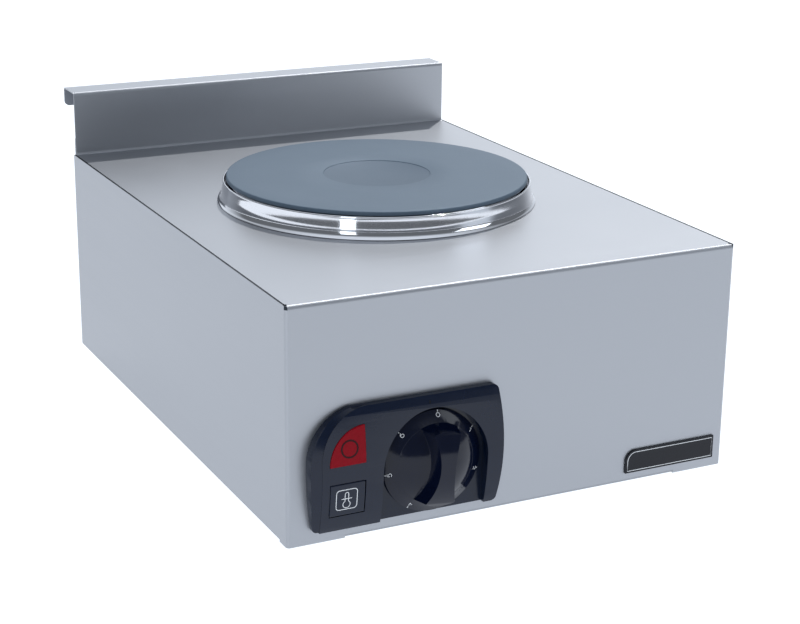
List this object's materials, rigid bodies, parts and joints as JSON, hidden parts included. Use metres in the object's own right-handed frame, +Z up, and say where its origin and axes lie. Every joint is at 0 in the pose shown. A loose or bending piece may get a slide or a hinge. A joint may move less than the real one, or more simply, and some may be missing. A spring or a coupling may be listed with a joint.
{
  "type": "hot plate burner",
  "caption": "Countertop electric hot plate: folded steel box with rear upstand, round cast-iron plate in a spill ring, and a rotary heat switch on the front.",
  "frame": {"origin": "on the worktop under the middle of the whole object's box", "axes": "+Z up, the control front faces -Y, the upstand is at +Y, +X is to the right as seen from the front"},
  "size_m": [0.33, 0.48, 0.218],
  "materials": {
    "brushed_casing": "fine brushed stainless",
    "plain_steel": "plain sheet and zinc-plated fasteners",
    "cast_iron": "matte turned face",
    "bright_ring": "polished",
    "black_plastic": "moulded, semi-gloss",
    "knob_plastic": "moulded, gloss",
    "red_lens": "translucent red",
    "name_plate": "gloss black",
    "foot_rubber": "matte",
    "ceramic": "unglazed ceramic",
    "phenolic": "moulded phenolic",
    "nylon": "moulded nylon",
    "brass": "plain",
    "element_wire": "oxidised resistance wire",
    "wire_cover": "silicone"
  },
  "bodies": {
    "casing": {"body_shell": "brushed_casing", "back_panel": "brushed_casing", "base_plate": "plain_steel", "base_screws": "plain_steel", "back_screws": "plain_steel", "foot_screws": "plain_steel", "foot_nuts": "plain_steel", "hotplate_pan": "plain_steel", "hotplate_stud": "plain_steel", "clamp_bridge": "plain_steel", "clamp_washer": "plain_steel", "clamp_nut": "plain_steel", "switch_screws": "plain_steel", "detent_spring": "plain_steel", "mains_block_screws": "plain_steel", "earth_stud": "plain_steel", "bonding_stud": "plain_steel", "foot_1": "foot_rubber", "foot_2": "foot_rubber", "foot_3": "foot_rubber", "foot_4": "foot_rubber", "ring_gasket": "foot_rubber", "gland_seal": "foot_rubber", "hotplate": "cast_iron", "trim_ring": "bright_ring", "heating_coils": "element_wire", "coil_insulation": "ceramic", "plate_terminal_block": "ceramic", "plate_terminal_tabs": "brass", "lamp_tabs": "brass", "switch_tabs": "brass", "contact_leaves": "brass", "earth_nuts": "brass", "bonding_nut": "brass", "bezel": "black_plastic", "symbol_tile": "black_plastic", "cable_gland": "black_plastic", "gland_cap": "black_plastic", "gland_locknut": "black_plastic", "lamp_lens": "red_lens", "nameplate": "name_plate", "lamp_body": "nylon", "lamp_nut": "nylon", "mains_block": "nylon", "switch_housing": "phenolic", "switch_cover": "phenolic", "wire_1": "wire_cover", "wire_2": "wire_cover", "wire_3": "wire_cover", "wire_4": "wire_cover", "wire_5": "wire_cover", "wire_6": "wire_cover", "wire_7": "wire_cover"},
    "control": {"knob": "knob_plastic", "knob_clip": "plain_steel", "cam_shaft": "nylon", "detent_star": "plain_steel"}
  },
  "joints": [
    {"name": "knob_turn", "type": "hinge", "parent": "casing", "child": "control", "pos_m": [-0.065, -0.214, 0.052], "axis": [0, 1, 0], "continuous": true}
  ]
}
